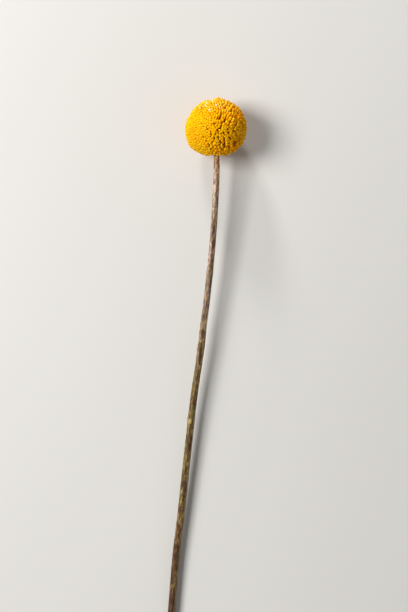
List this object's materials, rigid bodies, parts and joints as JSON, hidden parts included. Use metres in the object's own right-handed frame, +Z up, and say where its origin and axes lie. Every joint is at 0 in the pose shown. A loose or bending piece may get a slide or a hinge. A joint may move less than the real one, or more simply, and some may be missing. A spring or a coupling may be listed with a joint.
{
  "type": "billy buttons stem",
  "caption": "Dried billy button flower lying on its side: a yellow globular head of packed small florets on one long thin gently curved bare stem with a plain cut end.",
  "frame": {"origin": "centre of the object's box, on the surface that it lies on", "axes": "+Z up; +Y from the stem's cut end to the flower head; +X to the right seen from above with the head at the top"},
  "size_m": [0.028, 0.303, 0.0279],
  "materials": {
    "floret_yellow": "matte",
    "dried_stem": "matte",
    "leaf_stub": "matte"
  },
  "bodies": {
    "root": {"stem": "dried_stem", "leaf_stub_1": "leaf_stub", "leaf_stub_2": "leaf_stub", "leaf_stub_3": "leaf_stub", "leaf_stub_4": "leaf_stub", "leaf_stub_5": "leaf_stub", "leaf_stub_6": "leaf_stub", "leaf_stub_7": "leaf_stub", "florets_crown": "floret_yellow", "floret_row_01": "floret_yellow", "floret_row_02": "floret_yellow", "floret_row_03": "floret_yellow", "floret_row_04": "floret_yellow", "floret_row_05": "floret_yellow", "floret_row_06": "floret_yellow", "floret_row_07": "floret_yellow", "floret_row_08": "floret_yellow", "floret_row_09": "floret_yellow", "floret_row_10": "floret_yellow", "floret_row_11": "floret_yellow", "floret_row_12": "floret_yellow", "floret_row_13": "floret_yellow", "floret_row_14": "floret_yellow", "floret_row_15": "floret_yellow", "floret_row_16": "floret_yellow", "floret_row_17": "floret_yellow", "floret_row_18": "floret_yellow", "floret_row_19": "floret_yellow", "floret_row_20": "floret_yellow", "floret_row_21": "floret_yellow", "florets_base": "floret_yellow"}
  },
  "joints": []
}
